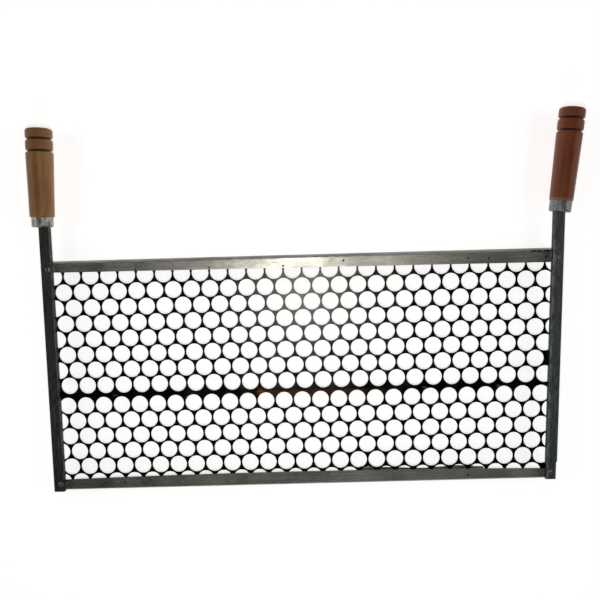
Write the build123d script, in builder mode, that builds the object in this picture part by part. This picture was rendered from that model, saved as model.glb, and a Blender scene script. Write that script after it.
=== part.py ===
from build123d import *
from math import asin, atan2, cos, degrees, radians, sin, tan
import os

# Two-handled perforated cooking grate, lying flat with its front side up (+Z).
# The handles point along +Y. The origin is the middle of the footprint, on the surface it rests on.
# All lengths are millimetres and all angles are degrees.

# ---- side bars: flat steel, laid on the front of the rails
bar_width = 12.7
bar_thickness = 6.35
bar_edge_round = 0.7
left_bar_x = -307.55
left_bar_end_y = -219.9
right_bar_x = 292.7            # centre line where it crosses y = 0
right_bar_lean = 1.3           # the right bar opens outwards towards the handles
right_bar_end_y = -214.5
right_bar_step = 1.3           # its lowest stretch is ground narrower on the outer side
right_bar_step_length = 21.0

# ---- rails: folded sheet channels, open towards the middle of the grate
rail_depth = 14.0
rail_sheet = 1.2
rail_fold_radius = 2.0
rail_face = 17.0               # front flange before its inner edge is trimmed
rail_back_spread = 2.2         # how much further out the fold is at the back
rail_end_inset = 1.0           # rail ends stop this short of the bars' outer edges
top_rail_y = 59.4              # outer edge of the front flange at x = 0
top_rail_skew = 0.115
top_rail_lip = 11.0            # width of the rear flange
top_edge = ((-330.0, 47.5), (0.0, 46.3), (330.0, 45.1))    # inner edge of the front flange
bottom_rail_y = -217.4
bottom_rail_skew = 0.47
bottom_rail_lip = 19.0
bottom_edge = ((-330.0, -207.9), (40.0, -201.7), (330.0, -203.9))    # bowed towards the middle of the grate
# the bottom rail's rear flange is cut by hand: narrow at both ends, wide and uneven between
lip_narrow = 7.5
lip_wide = ((60.0, 17.5), (137.0, 13.5), (181.0, 16.0), (212.0, 13.5))    # (x, width)

# ---- perforated sheets
sheet_thickness = 1.2
hole_diameter = 20.0
hole_pitch = 22.0
row_pitch = 18.93
hole_edge_bevel = 0.35
sheet_to_fold = 2.1            # the sheets stop this short of the rails' folds
sheet_side_inset = 1.0
sheet_corner_clip = 4.0
least_hole_inset = 4.2         # a hole is punched when its centre is this far inside the sheet
upper_sheet_x = -15.7          # centre of the reference hole
upper_sheet_y = -32.3
upper_sheet_skew = 0.30
upper_rows = range(-3, 5)
lower_sheet_x = -7.9
lower_sheet_y = -151.25
lower_sheet_skew = 0.42
lower_rows = range(-3, 3)
seam_margin = 2.1              # from the last holes to the upper sheet's cut edge
seam_lap = 1.4                 # the lower sheet reaches this far behind the upper one

# ---- blind rivets through bar, rail and sheet
rivet_inset = 2.0              # towards the middle, from the bar's centre line
rivet_y = {"top": (51.5, 50.5), "bottom": (-211.0, -206.2)}    # (left, right)
rivet_radius = 1.6
rivet_hole_radius = 1.65
rivet_head_radius = 3.1
rivet_head_height = 1.0
rivet_bulb_radius = 2.4
rivet_bulb_length = 2.6
mandrel_radius = 0.9
mandrel_head_radius = 1.5
mandrel_head_length = 1.4
mandrel_recess = 2.2           # the broken stem sits this deep in the rivet's head
rivet_gap = 0.15

# ---- welds
plug_radius = 1.2
plug_crater = 0.25
top_plugs = ((-8.5, 10.0), (-4.5, 10.1), (-0.5, 10.5), (2.75, 6.2), (9.4, 7.5), (10.5, 8.1), (13.5, 9.2))
bottom_plugs = ((-10.0, 7.8), (9.0, 5.7))    # (hole pitches along the sheet, in from the rail's outer edge)
seam_tack_columns = (-10.0, -2.0, 7.0, 11.0)
seam_tack_length = 5.0
seam_tack_width = 1.8
seam_tack_gap = 0.04
bar_tack_rows = (3, 1, -1)                   # upper sheet rows whose webs are tacked to the left bar
bar_tack_length = 4.0
bar_tack_reach = 2.4
bar_tack_bulge = 1.0
bar_tack_rise = 1.7
corner_weld_leg = 2.6
corner_weld_length = 9.0
corner_weld_start = 2.2        # in from the rail's outer edge

# ---- turned wooden grips and their ferrules, as (left, right) pairs of one size each
grip_base = ((-309.6, 101.4), (295.8, 103.2))     # centre of the ferrule's lower face
grip_lean = (1.0, 6.7)                           # from +Y towards +X
ferrule_length = (11.8, 12.6)
ferrule_radius = (12.3, 12.3)
wood_low_radius = (14.0, 13.1)
wood_shoulder_radius = (15.6, 14.5)
bead_radius = (15.3, 14.55)
wood_end = (114.9, 118.7)                        # from the ferrule's lower face
bead_length = 11.9
groove_width = 1.9
groove_depth = 2.1
bead_round = 2.0
end_round = 3.2
wood_low_round = 1.2
wood_crown = 1.0
ferrule_wall = 0.8
ferrule_floor = 1.0
ferrule_round = 2.0
spigot_clearance = 0.05
bore_radius = 4.5
bore_depth = 74.0
tang_side = 6.2
tang_length = 70.0

# ---- levels and places worked out from the above
bar_back_z = rail_depth
bar_front_z = bar_back_z + bar_thickness
bar_mid_z = bar_back_z + bar_thickness / 2
sheet_front_z = rail_depth - rail_sheet
sheet_back_z = sheet_front_z - sheet_thickness
hole_radius = hole_diameter / 2
upper_edge_v = min(upper_rows) * row_pitch - hole_radius - seam_margin
seam_y = upper_sheet_y + upper_edge_v


def right_bar_centre(y):
    return right_bar_x + y * tan(radians(right_bar_lean))


def rail_edge(x, rail_y, skew):
    """y of a rail's outer edge at x, on its front side."""
    return rail_y + x * tan(radians(skew))


def save(builder, name):
    builder.part.label = name
    export_step(builder.part, f"parts/{name}.step")


def rivet_place(side, level):
    if side == "left":
        return left_bar_x + rivet_inset, rivet_y[level][0]
    y = rivet_y[level][1]
    return right_bar_centre(y) - rivet_inset, y


rivet_places = {
    f"{level}_{side}": rivet_place(side, level) for level in ("top", "bottom") for side in ("left", "right")
}


def sheet_point(column, v, origin_x, origin_y, skew):
    """Place of a point given in hole pitches along a sheet's rows and mm across them."""
    u = column * hole_pitch
    c, s = cos(radians(skew)), sin(radians(skew))
    return origin_x + u * c - v * s, origin_y + u * s + v * c


def hole_centres(rows, origin_x, origin_y, skew, outline):
    """Centres of the staggered holes that lie far enough inside the outline."""
    left, right, low, high = outline
    found = []
    for row in rows:
        for step in range(-16, 17):
            x, y = sheet_point(step + 0.5 * (row % 2), row * row_pitch, origin_x, origin_y, skew)
            inside_sides = left(y) + least_hole_inset < x < right(y) - least_hole_inset
            if inside_sides and low(x) + least_hole_inset < y < high(x) - least_hole_inset:
                found.append((x, y))
    return found


def plug_places(plugs, sheet_x, sheet_skew, rail_y, rail_skew, outward):
    """Places of the plug welds on a rail's front flange."""
    found = []
    for column, inset in plugs:
        x = sheet_x + column * hole_pitch * cos(radians(sheet_skew))
        found.append((x, rail_edge(x, rail_y, rail_skew) - outward * inset))
    return found


top_plug_places = plug_places(top_plugs, upper_sheet_x, upper_sheet_skew, top_rail_y, top_rail_skew, 1)
bottom_plug_places = plug_places(
    bottom_plugs, lower_sheet_x, lower_sheet_skew, bottom_rail_y, bottom_rail_skew, -1
)


# ---- grips, ferrules and bars share one frame per side
def grip_direction(side):
    return Vector(sin(radians(grip_lean[side])), cos(radians(grip_lean[side])), 0)


def grip_origin(side):
    return Vector(*grip_base[side], bar_mid_z)


def turning_plane(side):
    """Plane through a grip's axis: its x is the radius and its y runs along the axis."""
    along = grip_direction(side)
    return Plane(origin=grip_origin(side), x_dir=Vector(along.Y, -along.X, 0), z_dir=(0, 0, 1))


def end_plane(side):
    """Plane of the ferrule's lower face, facing along the grip."""
    along = grip_direction(side)
    return Plane(origin=grip_origin(side), x_dir=Vector(along.Y, -along.X, 0), z_dir=along)


def make_grip(side, name):
    low = ferrule_length[side]
    end = wood_end[side]
    groove_2_top = end - 2 * bead_length - groove_width
    groove_2_low = groove_2_top - groove_width
    groove_1_low = end - bead_length - groove_width
    bead = bead_radius[side]
    shoulder = wood_shoulder_radius[side]
    spigot = ferrule_radius[side] - ferrule_wall - spigot_clearance
    crown_radius = (bead**2 + wood_crown**2) / (2 * wood_crown)
    crown_angle = asin(bead / crown_radius)
    with BuildPart() as grip:
        with BuildSketch(turning_plane(side)) as profile:
            with BuildLine():
                Polyline(
                    (bore_radius, ferrule_floor),
                    (spigot, ferrule_floor),
                    (spigot, low),
                    (wood_low_radius[side], low),
                    (shoulder, groove_2_low),
                    (bead - groove_depth, groove_2_low),
                    (bead - groove_depth, groove_2_top),
                    (bead, groove_2_top),
                    (bead, groove_1_low),
                    (bead - groove_depth, groove_1_low),
                    (bead - groove_depth, groove_1_low + groove_width),
                    (bead, groove_1_low + groove_width),
                    (bead, end - wood_crown),
                )
                ThreePointArc(
                    (bead, end - wood_crown),
                    (crown_radius * sin(crown_angle / 2), end - crown_radius * (1 - cos(crown_angle / 2))),
                    (0, end),
                )
                Polyline((0, end), (0, bore_depth), (bore_radius, bore_depth), (bore_radius, ferrule_floor))
            make_face()
            outer_corners = profile.vertices().filter_by(lambda v: v.X > bead - 0.1)
            fillet(outer_corners.sort_by(Axis.Y)[:-1], radius=bead_round)
            outer_corners = profile.vertices().filter_by(lambda v: v.X > bead - 0.1)
            fillet(outer_corners.sort_by(Axis.Y)[-1], radius=end_round)
            low_corners = profile.vertices().filter_by(lambda v: abs(v.Y - low) < 0.1)
            fillet(low_corners.sort_by(Axis.X)[-1], radius=wood_low_round)
        revolve(axis=Axis(grip_origin(side), grip_direction(side)))
    save(grip, name)


def make_ferrule(side, name):
    outer = ferrule_radius[side]
    inner = outer - ferrule_wall
    with BuildPart() as ferrule:
        with BuildSketch(turning_plane(side)) as profile:
            with BuildLine():
                Polyline(
                    (bore_radius, 0),
                    (outer, 0),
                    (outer, ferrule_length[side]),
                    (inner, ferrule_length[side]),
                    (inner, ferrule_floor),
                    (bore_radius, ferrule_floor),
                    close=True,
                )
            make_face()
            fillet(profile.vertices().sort_by(Axis.X)[-2:].sort_by(Axis.Y)[0], radius=ferrule_round)
        revolve(axis=Axis(grip_origin(side), grip_direction(side)))
    save(ferrule, name)


def make_bar(side, name, outline, rivets):
    """A flat bar cut to its ferrule, with a square tang that runs up into the grip."""
    with BuildPart() as bar:
        with BuildSketch(Plane.XY.offset(bar_back_z)):
            with BuildLine():
                Polyline(*outline, close=True)
            make_face()
        extrude(amount=bar_thickness)
        long_edges = bar.edges().filter_by(lambda e: e.length > 100 and e.center().Z > bar_mid_z)
        fillet(long_edges, radius=bar_edge_round)
        split(bisect_by=end_plane(side), keep=Keep.BOTTOM)
        with BuildSketch(Plane.XY.offset(bar_back_z)):
            with Locations(*rivets):
                Circle(rivet_hole_radius)
        extrude(amount=bar_thickness, mode=Mode.SUBTRACT)
        with BuildSketch(end_plane(side)):
            Rectangle(tang_side, tang_side)
        extrude(amount=tang_length)
    save(bar, name)


def make_rail(name, rail_y, skew, outward, lip, front_edge, lip_outline, rivets, plugs):
    """A folded channel: front flange, leaning web and rear flange, open towards the middle."""
    left_end = left_bar_x - bar_width / 2 + rail_end_inset
    right_end = right_bar_centre(rail_y) + bar_width / 2 - rail_end_inset
    middle_x = (left_end + right_end) / 2
    c, s = cos(radians(skew)), sin(radians(skew))
    section = Plane(
        origin=(middle_x, rail_edge(middle_x, rail_y, skew), 0),
        x_dir=(-s * outward, c * outward, 0),
        z_dir=(c * outward, s * outward, 0),
    )
    far_y = rail_y - outward * 3 * rail_face
    with BuildPart() as rail:
        with BuildSketch(section):
            with BuildLine():
                FilletPolyline(
                    (-rail_face, rail_depth),
                    (0, rail_depth),
                    (rail_back_spread, 0),
                    (rail_back_spread - lip, 0),
                    radius=rail_fold_radius,
                )
                offset(amount=rail_sheet, side=Side.RIGHT, closed=True)
            make_face()
        extrude(amount=(right_end - left_end) / 2, both=True)
        with BuildSketch(Plane.XY.offset(rail_depth)):
            with BuildLine():
                Spline(*front_edge)
                Polyline(front_edge[-1], (front_edge[-1][0], far_y), (front_edge[0][0], far_y), front_edge[0])
            make_face()
        extrude(amount=-rail_sheet, mode=Mode.SUBTRACT)
        with BuildSketch(Plane.XY.offset(rail_depth)):
            with Locations(*rivets):
                Circle(rivet_hole_radius)
            with Locations(*plugs):
                Circle(plug_radius)
        extrude(amount=-rail_sheet, mode=Mode.SUBTRACT)
        if lip_outline:
            with BuildSketch(Plane.XY):
                with BuildLine():
                    Polyline(*lip_outline, close=True)
                make_face()
            extrude(amount=rail_sheet * 1.5, mode=Mode.SUBTRACT)
    save(rail, name)


def make_sheet(name, plane, corners, centres, rivets):
    """A punched sheet whose holes have a bevelled front edge; it lies below its plane."""
    with BuildPart() as sheet:
        with BuildSketch(plane):
            with BuildLine():
                Polyline(*corners, close=True)
            make_face()
            with Locations(*centres):
                Circle(hole_radius, mode=Mode.SUBTRACT)
            with Locations(*rivets):
                Circle(rivet_hole_radius, mode=Mode.SUBTRACT)
        extrude(amount=-sheet_thickness)
        with BuildSketch(plane):
            with Locations(*centres):
                Circle(hole_radius + hole_edge_bevel)
        extrude(amount=-hole_edge_bevel, taper=45, mode=Mode.SUBTRACT)
    save(sheet, name)


os.makedirs("parts", exist_ok=True)

# ---- grips and ferrules
for side, side_name in enumerate(("left", "right")):
    make_grip(side, f"handle_grip_{side_name}")
    make_ferrule(side, f"ferrule_{side_name}")

# ---- side bars
half = bar_width / 2
bar_top_y = max(base[1] for base in grip_base) + 10
left_outline = (
    (left_bar_x - half, left_bar_end_y),
    (left_bar_x + half, left_bar_end_y),
    (left_bar_x + half, bar_top_y),
    (left_bar_x - half, bar_top_y),
)
step_y = right_bar_end_y + right_bar_step_length
right_outline = (
    (right_bar_centre(right_bar_end_y) - half, right_bar_end_y),
    (right_bar_centre(right_bar_end_y) + half - right_bar_step, right_bar_end_y),
    (right_bar_centre(step_y) + half - right_bar_step, step_y),
    (right_bar_centre(step_y) + half, step_y + right_bar_step),
    (right_bar_centre(bar_top_y) + half, bar_top_y),
    (right_bar_centre(bar_top_y) - half, bar_top_y),
)
left_rivets = (rivet_places["top_left"], rivet_places["bottom_left"])
right_rivets = (rivet_places["top_right"], rivet_places["bottom_right"])
make_bar(0, "side_bar_left", left_outline, left_rivets)
make_bar(1, "side_bar_right", right_outline, right_rivets)

# ---- rails
top_rivets = (rivet_places["top_left"], rivet_places["top_right"])
bottom_rivets = (rivet_places["bottom_left"], rivet_places["bottom_right"])
make_rail("top_rail", top_rail_y, top_rail_skew, 1, top_rail_lip, top_edge, None, top_rivets, top_plug_places)


def lip_edge(x, width):
    """y of the edge of the bottom rail's rear flange at x, where the flange is this wide."""
    return rail_edge(x, bottom_rail_y, bottom_rail_skew) - rail_back_spread + width


far_left = left_bar_x - 2 * bar_width
far_right = right_bar_x + 2 * bar_width
lip_far_y = bottom_rail_y + 2 * bottom_rail_lip
lip_start_x = lip_wide[0][0]
lip_stop_x = lip_wide[-1][0]
lip_cut = (
    (far_left, lip_edge(far_left, lip_narrow)),
    (lip_start_x, lip_edge(lip_start_x, lip_narrow)),
    *((x, lip_edge(x, width)) for x, width in lip_wide),
    (lip_stop_x, lip_edge(lip_stop_x, lip_narrow)),
    (far_right, lip_edge(far_right, lip_narrow)),
    (far_right, lip_far_y),
    (far_left, lip_far_y),
)
make_rail(
    "bottom_rail",
    bottom_rail_y,
    bottom_rail_skew,
    -1,
    bottom_rail_lip,
    bottom_edge,
    lip_cut,
    bottom_rivets,
    bottom_plug_places,
)


# ---- sheets
def sheet_left(y):
    return left_bar_x - half + sheet_side_inset


def sheet_right(y):
    return right_bar_centre(y) + half - sheet_side_inset


def upper_top(x):
    return rail_edge(x, top_rail_y, top_rail_skew) - sheet_to_fold


def upper_bottom(x):
    return seam_y + (x - upper_sheet_x) * tan(radians(upper_sheet_skew))


def lower_top(x):
    return upper_bottom(x) + seam_lap


def lower_bottom(x):
    return rail_edge(x, bottom_rail_y, bottom_rail_skew) + sheet_to_fold


def outline_corners(low, high):
    """Outline of a sheet between two edge lines and the bars, with its corners clipped."""
    left_x = sheet_left(0)
    low_right = sheet_right(low(right_bar_x))
    high_right = sheet_right(high(right_bar_x))
    clip = sheet_corner_clip
    return (
        (left_x, low(left_x) + clip),
        (left_x + clip, low(left_x)),
        (low_right - clip, low(low_right)),
        (low_right, low(low_right) + clip),
        (high_right, high(high_right) - clip),
        (high_right - clip, high(high_right)),
        (left_x + clip, high(left_x)),
        (left_x, high(left_x) - clip),
    )


upper_centres = hole_centres(
    upper_rows, upper_sheet_x, upper_sheet_y, upper_sheet_skew, (sheet_left, sheet_right, upper_bottom, upper_top)
)
upper_plane = Plane.XY.offset(sheet_front_z)
make_sheet("upper_sheet", upper_plane, outline_corners(upper_bottom, upper_top), upper_centres, top_rivets)

# The lower sheet lies behind the upper one at the seam and against the bottom rail's front flange.
lower_fall_y = lower_bottom(left_bar_x)
lower_tilt = degrees(atan2(sheet_thickness + 0.05, upper_bottom(right_bar_x) - lower_fall_y))
lower_plane = Plane(
    origin=(0, lower_fall_y, sheet_front_z),
    x_dir=(1, 0, 0),
    z_dir=(0, sin(radians(lower_tilt)), cos(radians(lower_tilt))),
)


def on_lower_plane(point):
    """The same place in the lower plane's own coordinates."""
    return point[0], (point[1] - lower_fall_y) / cos(radians(lower_tilt))


lower_centres = hole_centres(
    lower_rows, lower_sheet_x, lower_sheet_y, lower_sheet_skew, (sheet_left, sheet_right, lower_bottom, lower_top)
)
make_sheet(
    "lower_sheet",
    lower_plane,
    tuple(on_lower_plane(p) for p in outline_corners(lower_bottom, lower_top)),
    tuple(on_lower_plane(p) for p in lower_centres),
    tuple(on_lower_plane(p) for p in bottom_rivets),
)

# ---- blind rivets: a hollow body with a domed head and a blind bulb, and its broken mandrel
blind_z = sheet_back_z - rivet_gap
bulb_z = blind_z - rivet_bulb_length
for place_name, (x, y) in rivet_places.items():
    rivet_plane = Plane(origin=(x, y, 0), x_dir=(1, 0, 0), z_dir=(0, -1, 0))
    rivet_axis = Axis((x, y, 0), (0, 0, 1))
    with BuildPart() as rivet_body:
        with BuildSketch(rivet_plane):
            with BuildLine():
                Polyline(
                    (mandrel_radius, bulb_z),
                    (rivet_bulb_radius, bulb_z),
                    (rivet_bulb_radius, blind_z),
                    (rivet_radius, blind_z),
                    (rivet_radius, bar_front_z),
                    (rivet_head_radius, bar_front_z),
                )
                ThreePointArc(
                    (rivet_head_radius, bar_front_z),
                    (rivet_head_radius * 0.75, bar_front_z + rivet_head_height * 0.7),
                    (mandrel_radius, bar_front_z + rivet_head_height),
                )
                Line((mandrel_radius, bar_front_z + rivet_head_height), (mandrel_radius, bulb_z))
            make_face()
        revolve(axis=rivet_axis)
    save(rivet_body, f"rivet_body_{place_name}")
    with BuildPart() as mandrel:
        with BuildSketch(rivet_plane):
            with BuildLine():
                Polyline(
                    (0, bulb_z - mandrel_head_length),
                    (mandrel_radius, bulb_z - mandrel_head_length),
                    (mandrel_head_radius, bulb_z - mandrel_head_length / 2),
                    (mandrel_head_radius, bulb_z),
                    (mandrel_radius, bulb_z),
                    (mandrel_radius, bar_front_z + rivet_head_height - mandrel_recess),
                    (0, bar_front_z + rivet_head_height - mandrel_recess),
                    close=True,
                )
            make_face()
        revolve(axis=rivet_axis)
    save(mandrel, f"rivet_mandrel_{place_name}")


# ---- plug welds: dished nuggets that fill the flange's holes and fuse it to the sheet behind
def make_plugs(name, places):
    with BuildPart() as plugs:
        with BuildSketch(Plane.XY.offset(sheet_front_z)):
            with Locations(*places):
                Circle(plug_radius)
        extrude(amount=rail_sheet)
        crater_radius = (plug_radius**2 + plug_crater**2) / (2 * plug_crater)
        with Locations(*((x, y, rail_depth + crater_radius - plug_crater) for x, y in places)):
            Sphere(crater_radius, mode=Mode.SUBTRACT)
    save(plugs, name)


make_plugs("plug_welds_top", top_plug_places)
make_plugs("plug_welds_bottom", bottom_plug_places)

# ---- seam tacks: short fillet beads in the step where the sheets lap
with BuildPart() as seam_tacks:
    for column in seam_tack_columns:
        x, y = sheet_point(column, upper_edge_v, upper_sheet_x, upper_sheet_y, upper_sheet_skew)
        bead_plane = Plane(
            origin=lower_plane.from_local_coords((*on_lower_plane((x, y - seam_tack_gap)), 0)),
            x_dir=(0, -cos(radians(lower_tilt)), sin(radians(lower_tilt))),
            z_dir=(-1, 0, 0),
        )
        with BuildSketch(bead_plane):
            with BuildLine():
                Line((0, 0), (seam_tack_width, 0))
                ThreePointArc(
                    (seam_tack_width, 0),
                    (seam_tack_width * 0.75, sheet_thickness * 0.75),
                    (0, sheet_thickness),
                )
                Line((0, sheet_thickness), (0, 0))
            make_face()
        extrude(amount=seam_tack_length / 2, both=True)
save(seam_tacks, "seam_tacks")

# ---- bar tacks: beads in the gap between the left bar and the upper sheet
inner_face_x = left_bar_x + half
with BuildPart() as bar_tacks:
    for row in bar_tack_rows:
        y = sheet_point(-12.5, row * row_pitch, upper_sheet_x, upper_sheet_y, upper_sheet_skew)[1]
        with BuildSketch(Plane(origin=(inner_face_x, y, 0), x_dir=(1, 0, 0), z_dir=(0, -1, 0))):
            with BuildLine():
                Polyline(
                    (0, bar_back_z + bar_tack_rise),
                    (0, bar_back_z),
                    (-bar_tack_reach, bar_back_z),
                    (-bar_tack_reach, sheet_front_z),
                    (0, sheet_front_z),
                )
                ThreePointArc(
                    (0, sheet_front_z),
                    (bar_tack_bulge, (sheet_front_z + bar_back_z + bar_tack_rise) / 2),
                    (0, bar_back_z + bar_tack_rise),
                )
            make_face()
        extrude(amount=bar_tack_length / 2, both=True)
save(bar_tacks, "bar_tacks")


# ---- corner welds: fillet beads between a rail's face and a bar's inner side
def corner_weld_frame(side, rail_y, skew, outward):
    """Plane across a corner weld: x runs along the rail away from the bar and y is up."""
    middle_y = rail_y - outward * (corner_weld_start + corner_weld_length / 2)
    if side == "left":
        x = left_bar_x + half
        lean = 0
    else:
        lean = right_bar_lean
        x = right_bar_centre(middle_y) - half / cos(radians(lean))
    y = rail_edge(x, middle_y, skew)
    if side == "right":
        x = right_bar_centre(y) - half / cos(radians(lean))
    away = 1 if side == "left" else -1
    return Plane(
        origin=(x, y, bar_back_z),
        x_dir=(away * cos(radians(lean)), -away * sin(radians(lean)), 0),
        z_dir=(-away * sin(radians(lean)), -away * cos(radians(lean)), 0),
    )


with BuildPart() as corner_welds:
    for side_name, rail_y, skew, outward in (
        ("right", top_rail_y, top_rail_skew, 1),
        ("left", bottom_rail_y, bottom_rail_skew, -1),
        ("right", bottom_rail_y, bottom_rail_skew, -1),
    ):
        with BuildSketch(corner_weld_frame(side_name, rail_y, skew, outward)):
            with BuildLine():
                Line((0, 0), (corner_weld_leg, 0))
                ThreePointArc(
                    (corner_weld_leg, 0),
                    (corner_weld_leg * 0.6, corner_weld_leg * 0.6),
                    (0, corner_weld_leg),
                )
                Line((0, corner_weld_leg), (0, 0))
            make_face()
        extrude(amount=corner_weld_length / 2, both=True)
save(corner_welds, "corner_welds")
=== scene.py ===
from math import radians

import bpy
from mathutils import Euler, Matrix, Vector


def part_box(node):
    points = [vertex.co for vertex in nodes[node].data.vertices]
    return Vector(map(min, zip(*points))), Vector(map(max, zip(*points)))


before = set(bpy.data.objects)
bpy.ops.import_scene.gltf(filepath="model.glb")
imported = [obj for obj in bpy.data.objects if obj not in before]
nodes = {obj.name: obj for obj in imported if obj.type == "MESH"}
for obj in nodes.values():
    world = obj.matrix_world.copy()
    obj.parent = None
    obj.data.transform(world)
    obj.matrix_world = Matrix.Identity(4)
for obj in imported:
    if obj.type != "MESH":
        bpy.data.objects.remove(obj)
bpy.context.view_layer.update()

MM = 0.001

# ---- camera: above the grate's front side, on the handles' side of its middle, looking slightly away from them
camera_place = Vector((11.2, 76.9, 783.2)) * MM
camera_tilt = (-5.175, 1.283, -1.496)
camera_lens = 39.0

# ---- turned grips, as (left, right) pairs; t runs along a grip from its ferrule's lower face
grip_base = ((-309.6, 101.4), (295.8, 103.2))
grip_lean = (1.0, 6.7)
grip_end = (114.9, 118.7)
ferrule_length = (11.8, 12.6)
bead_length = 11.9
groove_width = 1.9
grip_axis_z = 17.175
right_bar_lean = 1.3
top_rail_lean = -0.115
bottom_rail_lean = -0.47

# ---- marks on the steel, with painted highlight and painted shade
scorch_from_end = (34, 14)     # along the top rail, from its right end
scorch_depth = (5, 3)          # across it, from its outer edge
heat_length = 130              # browned stretch of the lower sheet, from its second tack
heat_below_seam = 9
least_gap = 8                  # solids of one node that stand further apart than this are counted apart
hole_wall_shade = (0.010, 0.009, 0.008)    # painted shade on the sheets' cut edges and hole walls
edge_highlight = (5.3, 6.1)       # across a bar from its middle, where the painted highlight along its edges begins and is full
painted_side_shade = (-4, -13)        # across a grip from its middle, where the painted shade on one side begins and is full


def middle(node):
    low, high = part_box(node)
    return (low + high) / 2


def solids_of(node):
    """Middle of each separate solid of a node whose solids stand apart along X."""
    points = sorted((v.co.copy() for v in nodes[node].data.vertices), key=lambda p: p.x)
    groups = [[points[0]]]
    for point in points[1:]:
        if point.x - groups[-1][-1].x > least_gap * MM:
            groups.append([])
        groups[-1].append(point)
    return [sum(group, Vector()) / len(group) for group in groups]


class Surface:
    """A Principled material and short calls for the nodes that feed it."""

    def __init__(self, name, metallic, **uniform):
        self.material = bpy.data.materials.new(name)
        self.material.use_nodes = True
        self.tree = self.material.node_tree
        self.shader = self.tree.nodes["Principled BSDF"]
        self.shader.inputs["Metallic"].default_value = metallic
        for socket, value in uniform.items():
            self.shader.inputs[socket.replace("_", " ")].default_value = value
        self.place = self.node("ShaderNodeTexCoord").outputs["Object"]

    def node(self, kind, values=(), **settings):
        made = self.tree.nodes.new(kind)
        for key, value in settings.items():
            setattr(made, key, value)
        for socket, value in dict(values).items():
            if isinstance(value, bpy.types.NodeSocket):
                self.tree.links.new(value, made.inputs[socket])
            else:
                made.inputs[socket].default_value = value
        return made

    def turned(self, origin, lean):
        """Coordinates about a point, with Y along a line that leans from +Y towards +X."""
        moved = self.node("ShaderNodeVectorMath", {0: self.place, 1: origin}, operation="SUBTRACT")
        turn = {"Vector": moved.outputs[0], "Rotation": (0, 0, radians(lean))}
        return self.node("ShaderNodeVectorRotate", turn, rotation_type="EULER_XYZ").outputs[0]

    def axis(self, vector, name):
        return self.node("ShaderNodeSeparateXYZ", {0: vector}).outputs[name]

    def noise(self, vector, scale, detail=3, stretch=(1, 1, 1)):
        """Noise whose features are 1/scale metres across, longer where stretch is under 1."""
        scaled = self.node("ShaderNodeVectorMath", {0: vector, 1: stretch}, operation="MULTIPLY").outputs[0]
        made = {"Vector": scaled, "Scale": scale, "Detail": detail}
        return self.node("ShaderNodeTexNoise", made).outputs["Fac"]

    def band(self, value, low, high, to_low=0.0, to_high=1.0):
        made = {"Value": value, "From Min": low, "From Max": high, "To Min": to_low, "To Max": to_high}
        return self.node("ShaderNodeMapRange", made, interpolation_type="SMOOTHSTEP").outputs["Result"]

    def maths(self, operation, a, b=0.0):
        return self.node("ShaderNodeMath", {0: a, 1: b}, operation=operation).outputs[0]

    def within(self, value, low, high, soft):
        """1 between low and high, falling to 0 over soft on each side."""
        return self.maths("MULTIPLY", self.band(value, low - soft, low), self.band(value, high + soft, high))

    def mix(self, share, a, b):
        made = self.node("ShaderNodeMix", {0: share}, data_type="RGBA")
        for index, value in ((6, a), (7, b)):
            if isinstance(value, bpy.types.NodeSocket):
                self.tree.links.new(value, made.inputs[index])
            else:
                made.inputs[index].default_value = (*value, 1)
        return made.outputs[2]

    def near(self, point, radius, soft):
        """1 within radius of a point, 0 beyond radius + soft."""
        away = self.node("ShaderNodeVectorMath", {0: self.place, 1: point}, operation="DISTANCE")
        return self.band(away.outputs["Value"], radius + soft, radius)

    def flank(self):
        """1 on sides and cut edges, 0 on faces that look along Z; it masks the painted shade."""
        normal = self.node("ShaderNodeNewGeometry").outputs["True Normal"]
        return self.band(self.maths("ABSOLUTE", self.axis(normal, "Z")), 0.85, 0.55)

    def finish(self, colour, roughness, height, strength, depth):
        self.tree.links.new(colour, self.shader.inputs["Base Color"])
        self.tree.links.new(roughness, self.shader.inputs["Roughness"])
        bump = self.node("ShaderNodeBump", {"Height": height, "Strength": strength, "Distance": depth})
        self.tree.links.new(bump.outputs[0], self.shader.inputs["Normal"])
        return self.material


def bar_steel(name, centre, lean, dark, light, worn_and_highlight):
    """Hot-rolled flat bar: mill scale, lengthwise scratches, painted highlight along the edges, painted shade on
    the sides.
    """
    s = Surface(name, 0.75)
    v = s.turned(centre, lean)
    scale_spots = s.noise(v, 520, 5, (1, 0.25, 1))
    grain = s.noise(v, 1500, 3, (1, 0.03, 1))
    scratch = s.band(s.noise(v, 620, 2, (1, 0.02, 1)), 0.62, 0.72)
    flecks = s.band(s.noise(v, 420, 2), 0.70, 0.76)
    across = s.maths("ABSOLUTE", s.axis(v, "X"))
    begins, full = (place * MM for place in edge_highlight)
    # painted highlight along both long edges of the bar, broken up by noise
    painted_highlight = s.maths("MULTIPLY", s.band(across, begins, full), s.band(s.noise(v, 150, 3), 0.35, 0.6))
    colour = s.mix(s.band(scale_spots, 0.15, 0.85), dark, light)
    colour = s.mix(s.maths("MULTIPLY", scratch, 0.35), colour, worn_and_highlight)
    colour = s.mix(s.maths("MULTIPLY", flecks, 0.45), colour, worn_and_highlight)
    colour = s.mix(s.maths("MULTIPLY", painted_highlight, 0.7), colour, worn_and_highlight)
    # painted shade: sides and edges that don't face along Z are darkened
    colour = s.mix(s.flank(), colour, (0.020, 0.019, 0.017))
    height = s.maths("ADD", s.maths("MULTIPLY", scale_spots, 0.7), s.maths("MULTIPLY", grain, 0.5))
    return s.finish(colour, s.band(scale_spots, 0.25, 0.75, 0.42, 0.62), height, 0.35, 0.15 * MM)


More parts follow.
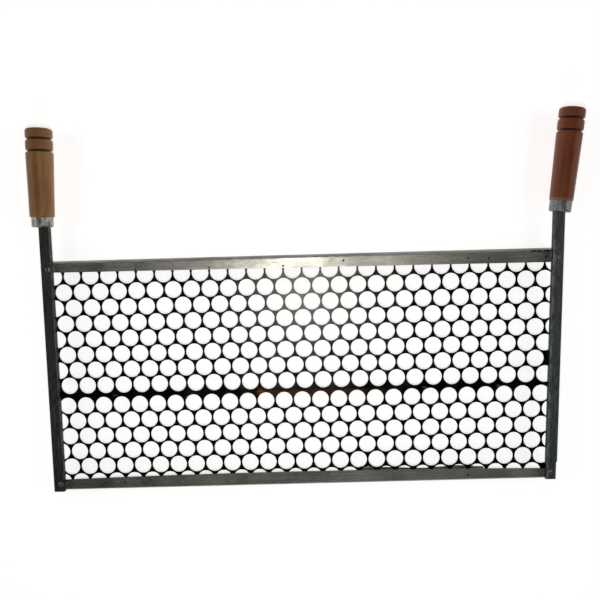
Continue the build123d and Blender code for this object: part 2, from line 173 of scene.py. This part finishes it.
def rail_steel(name, node, lean, scorched=False, painted_highlight=0.0):
    """Bare folded sheet: fine lengthwise grain, mottling, small scratches; the last argument paints a highlight
    that brightens it towards +X, and its flanks get painted shade.
    """
    low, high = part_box(node)
    s = Surface(name, 1.0)
    v = s.turned((low + high) / 2, lean)
    grain = s.noise(v, 1100, 3, (0.02, 1, 1))
    mottle = s.noise(v, 420, 6, (0.35, 1, 1))
    cloud = s.noise(v, 22, 3)
    streak = s.band(s.noise(v, 500, 2, (0.03, 1, 1)), 0.60, 0.70)
    specks = s.band(s.noise(v, 520, 2), 0.70, 0.76)
    colour = s.mix(s.band(mottle, 0.2, 0.8), (0.36, 0.355, 0.32), (0.60, 0.59, 0.53))
    colour = s.mix(s.band(cloud, 0.35, 0.7, 0.0, 0.35), colour, (0.30, 0.30, 0.275))
    colour = s.mix(s.band(grain, 0.35, 0.65, 0.0, 0.30), colour, (0.12, 0.12, 0.11))
    colour = s.mix(s.maths("MULTIPLY", streak, 0.4), colour, (0.66, 0.65, 0.60))
    # painted highlight, growing towards +X
    colour = s.mix(s.band(s.axis(s.place, "X"), 0.0, high.x, 0.0, painted_highlight), colour, (0.86, 0.85, 0.77))
    colour = s.mix(s.maths("MULTIPLY", specks, 0.6), colour, (0.06, 0.05, 0.04))
    # painted shade on the rail's flanks and folds
    colour = s.mix(s.maths("MULTIPLY", s.flank(), 0.9), colour, (0.035, 0.033, 0.029))
    if scorched:
        x, y = s.axis(s.place, "X"), s.axis(s.place, "Y")
        start, stop = (high.x - inset * MM for inset in scorch_from_end)
        inner, outer = (high.y - inset * MM for inset in scorch_depth)
        end = s.within(x, start, stop, 3 * MM)
        edge = s.maths("MULTIPLY", end, s.band(y, inner, outer))
        patch = s.maths("MULTIPLY", edge, s.band(s.noise(s.place, 400, 4), 0.42, 0.52))
        colour = s.mix(patch, colour, (0.03, 0.03, 0.03))
    height = s.maths("ADD", grain, s.maths("MULTIPLY", mottle, 0.6))
    return s.finish(colour, s.band(cloud, 0.3, 0.7, 0.34, 0.46), height, 0.30, 0.06 * MM)


def sheet_steel(name, rust, browned=None):
    """Dark punched sheet: oily sheen, rolling lines, burnt colours where it was tacked or heated; painted shade on
    the hole walls and cut edges.
    """
    s = Surface(name, 1.0)
    rolled = s.noise(s.place, 900, 2, (0.05, 1, 1))
    cloud = s.noise(s.place, 60, 5)
    pits = s.band(s.noise(s.place, 700, 2), 0.68, 0.75)
    colour = s.mix(s.band(cloud, 0.3, 0.7), (0.010, 0.0095, 0.0085), (0.030, 0.028, 0.025))
    colour = s.mix(s.maths("MULTIPLY", pits, 0.5), colour, (0.03, 0.025, 0.02))
    if browned:
        x, y = s.axis(s.place, "X"), s.axis(s.place, "Y")
        (x_low, x_high), (y_low, y_high) = browned
        heat = s.maths("MULTIPLY", s.within(x, x_low, x_high, 25 * MM), s.within(y, y_low, y_high, 5 * MM))
        heat = s.maths("MULTIPLY", heat, s.band(cloud, 0.25, 0.6, 0.35, 0.95))
        colour = s.mix(heat, colour, (0.060, 0.030, 0.015))
    for point, tint in rust:
        burn = s.near(point, 2.5 * MM, 4 * MM)
        burn = s.maths("MULTIPLY", burn, s.band(s.noise(s.place, 300, 4), 0.30, 0.55))
        colour = s.mix(burn, colour, tint)
    # painted shade on the hole walls and cut edges
    colour = s.mix(s.flank(), colour, hole_wall_shade)
    height = s.maths("ADD", rolled, s.maths("MULTIPLY", cloud, 0.8))
    return s.finish(colour, s.band(cloud, 0.3, 0.7, 0.22, 0.32), height, 0.16, 0.05 * MM)


def cup_metal(name, dark, light, contrast):
    """Zinc-coated ferrule: crystalline mottling and scattered scuffs."""
    s = Surface(name, 0.9)
    cells = s.node("ShaderNodeTexVoronoi", {"Vector": s.place, "Scale": 330.0}).outputs["Color"]
    patch = s.axis(cells, "X")
    cloud = s.noise(s.place, 240, 5)
    blotch = s.maths("ADD", s.maths("MULTIPLY", patch, contrast), cloud)
    scuff = s.band(s.noise(s.place, 600, 2), 0.64, 0.72)
    colour = s.mix(s.band(blotch, 0.35, 1.0), dark, light)
    colour = s.mix(s.maths("MULTIPLY", scuff, 0.5), colour, (0.08, 0.08, 0.07))
    return s.finish(colour, s.band(cloud, 0.3, 0.7, 0.34, 0.55), cloud, 0.30, 0.12 * MM)


def turned_wood(name, side, body, deep, bead, rim, pore):
    """Turned, thinly varnished hardwood: grain and pores along the grip, dark grooves, a warmer lower rim, painted
    shade down one side.
    """
    s = Surface(name, 0.0, Coat_Weight=0.10, Coat_Roughness=0.35, Specular_IOR_Level=0.30)
    v = s.turned(Vector((*grip_base[side], grip_axis_z)) * MM, grip_lean[side])
    t, across = s.axis(v, "Y"), s.axis(v, "X")
    grain = s.noise(v, 420, 5, (1, 0.05, 1))
    broad = s.noise(v, 85, 4, (1, 0.18, 1))
    pores = s.band(s.noise(v, 820, 2, (1, 0.12, 1)), 0.66, 0.73)
    colour = s.mix(s.band(broad, 0.3, 0.7), deep, body)
    colour = s.mix(s.band(grain, 0.40, 0.62, 0.30, 0.0), colour, pore)
    end = grip_end[side] * MM
    first_bead = end - (2 * bead_length + 2 * groove_width) * MM
    begins, full = (place * MM for place in painted_side_shade)
    # painted shade down one side of the grip
    colour = s.mix(s.band(across, begins, full, 0.0, 0.45), colour, deep)
    colour = s.mix(s.band(t, first_bead - 3 * MM, first_bead + 3 * MM, 0.0, 0.8), colour, bead)
    low = ferrule_length[side] * MM
    colour = s.mix(s.within(t, low, low + 2.2 * MM, 1.5 * MM), colour, rim)
    colour = s.mix(s.maths("MULTIPLY", pores, 0.75), colour, pore)
    for groove_top in (end - bead_length * MM, end - (2 * bead_length + groove_width) * MM):
        groove = s.within(t, groove_top - groove_width * MM, groove_top, 0.5 * MM)
        colour = s.mix(s.maths("MULTIPLY", groove, 0.92), colour, (0.012, 0.007, 0.004))
    height = s.maths("SUBTRACT", grain, pores)
    return s.finish(colour, s.band(broad, 0.3, 0.7, 0.38, 0.52), height, 0.30, 0.12 * MM)


def small_metal(name, metallic, dark, light, scale, rough):
    """Rivets and weld beads: lumpy, with dirt or rust in the hollows."""
    s = Surface(name, metallic)
    lumps = s.noise(s.place, scale, 5)
    dirt = s.noise(s.place, scale * 2.3, 3)
    colour = s.mix(s.band(lumps, 0.35, 0.65), dark, light)
    colour = s.mix(s.band(dirt, 0.58, 0.70, 0.0, 0.6), colour, dark)
    return s.finish(colour, s.band(lumps, 0.3, 0.7, rough, rough + 0.2), lumps, 0.5, 0.2 * MM)


def dress(node, material):
    for slot in nodes[node].material_slots:
        slot.material = material


# ---- materials
dress("side_bar_left", bar_steel(
    "bar_left", middle("side_bar_left"), 0, (0.030, 0.031, 0.030), (0.075, 0.076, 0.072), (0.32, 0.33, 0.31)))
dress("side_bar_right", bar_steel(
    "bar_right", middle("side_bar_right"), right_bar_lean, (0.068, 0.081, 0.085), (0.130, 0.148, 0.153),
    (0.30, 0.33, 0.34)))
dress("top_rail", rail_steel("rail_top", "top_rail", top_rail_lean, scorched=True))
# painted highlight: the bottom rail brightens towards +X
dress("bottom_rail", rail_steel("rail_bottom", "bottom_rail", bottom_rail_lean, painted_highlight=0.55))

tacks = solids_of("seam_tacks")
tints = ((0.05, 0.022, 0.012), (0.22, 0.065, 0.012), (0.025, 0.015, 0.010), (0.025, 0.015, 0.010))
burns = list(zip(tacks, tints))
lap_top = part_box("lower_sheet")[1].y
seam = sum(tack.y for tack in tacks) / len(tacks)
browned = ((tacks[1].x, tacks[1].x + heat_length * MM), (seam - heat_below_seam * MM, lap_top))
dress("upper_sheet", sheet_steel("sheet_upper", burns))
dress("lower_sheet", sheet_steel("sheet_lower", burns, browned))

dress("ferrule_left", cup_metal("ferrule_zinc_left", (0.12, 0.12, 0.10), (0.42, 0.42, 0.37), 0.55))
dress("ferrule_right", cup_metal("ferrule_zinc_right", (0.17, 0.18, 0.18), (0.30, 0.32, 0.32), 0.30))
dress("handle_grip_left", turned_wood(
    "wood_honey", 0, (0.37, 0.20, 0.055), (0.27, 0.115, 0.030), (0.23, 0.098, 0.030), (0.36, 0.13, 0.03),
    (0.10, 0.045, 0.02)))
dress("handle_grip_right", turned_wood(
    "wood_red", 1, (0.27, 0.066, 0.016), (0.18, 0.036, 0.009), (0.19, 0.042, 0.011), (0.33, 0.10, 0.02),
    (0.07, 0.022, 0.012)))

rivet = small_metal("rivet_metal", 0.9, (0.07, 0.065, 0.06), (0.40, 0.40, 0.38), 420, 0.35)
stem = small_metal("mandrel_steel", 0.7, (0.02, 0.015, 0.012), (0.08, 0.06, 0.045), 500, 0.5)
weld = small_metal("weld_bead", 0.7, (0.035, 0.022, 0.015), (0.20, 0.16, 0.13), 330, 0.4)
plug = small_metal("weld_plug", 0.6, (0.018, 0.014, 0.011), (0.06, 0.045, 0.035), 500, 0.5)
for corner in ("top_left", "top_right", "bottom_left", "bottom_right"):
    dress(f"rivet_body_{corner}", rivet)
    dress(f"rivet_mandrel_{corner}", stem)
for node in ("seam_tacks", "bar_tacks"):
    dress(node, weld)
dress("corner_welds", small_metal("weld_corner", 0.7, (0.030, 0.027, 0.024), (0.16, 0.15, 0.14), 330, 0.4))
for node in ("plug_welds_top", "plug_welds_bottom"):
    dress(node, plug)

# ---- floor
floor_mesh = bpy.data.meshes.new("floor")
reach, cells = 3.0, 24
points = [
    ((i / cells - 0.5) * 2 * reach, (j / cells - 0.5) * 2 * reach, 0.0)
    for j in range(cells + 1) for i in range(cells + 1)
]
faces = [
    (a, a + 1, a + cells + 2, a + cells + 1)
    for j in range(cells) for a in range(j * (cells + 1), j * (cells + 1) + cells)
]
floor_mesh.from_pydata(points, [], faces)
floor = bpy.data.objects.new("floor", floor_mesh)
bpy.context.scene.collection.objects.link(floor)
pale = Surface("pale_floor", 0.0, Emission_Strength=0.66, Emission_Color=(1.0, 1.0, 1.0, 1.0))
paper = pale.noise(pale.place, 40, 3)
paper_colour = pale.mix(paper, (0.86, 0.86, 0.86), (0.90, 0.90, 0.90))
floor_mesh.materials.append(pale.finish(paper_colour, pale.band(paper, 0, 1, 0.85, 0.95), paper, 0.02, MM))


# ---- light
def panel(name, place, aim, size, power, colour=(1, 1, 1)):
    light = bpy.data.lights.new(name, "AREA")
    light.shape = "RECTANGLE"
    light.size, light.size_y = size
    light.energy = power
    light.color = colour
    lamp = bpy.data.objects.new(name, light)
    lamp.location = place
    lamp.rotation_euler = (Vector(aim) - Vector(place)).to_track_quat("-Z", "Y").to_euler()
    bpy.context.scene.collection.objects.link(lamp)


panel("side_left", (-1.7, 0.1, 0.85), (0, 0, 0), (1.6, 1.0), 6.5)
panel("side_right", (1.7, 0.1, 0.85), (0, 0, 0), (1.6, 1.0), 6.5)
panel("far_side", (0.0, 1.7, 0.80), (0, 0, 0), (1.8, 0.9), 5)
panel("near_side", (0.0, -1.7, 0.80), (0, 0, 0), (1.8, 0.9), 5)
panel("lamp_by_camera", (-0.015, -0.040, 0.80), (0, 0, 0), (0.10, 0.10), 1.5, (1.0, 0.97, 0.92))

world = bpy.data.worlds.new("studio")
world.use_nodes = True
world.node_tree.nodes["Background"].inputs["Color"].default_value = (0.012, 0.012, 0.013, 1)
world.node_tree.nodes["Background"].inputs["Strength"].default_value = 1.0
bpy.context.scene.world = world
bpy.context.scene.view_settings.view_transform = "Standard"

# ---- camera
lens = bpy.data.cameras.new("camera")
lens.lens = camera_lens
lens.sensor_width = 36.0
lens.clip_start = 0.01
camera = bpy.data.objects.new("camera", lens)
camera.location = camera_place
camera.rotation_euler = Euler([radians(a) for a in camera_tilt], "XYZ")
bpy.context.scene.collection.objects.link(camera)
bpy.context.scene.camera = camera
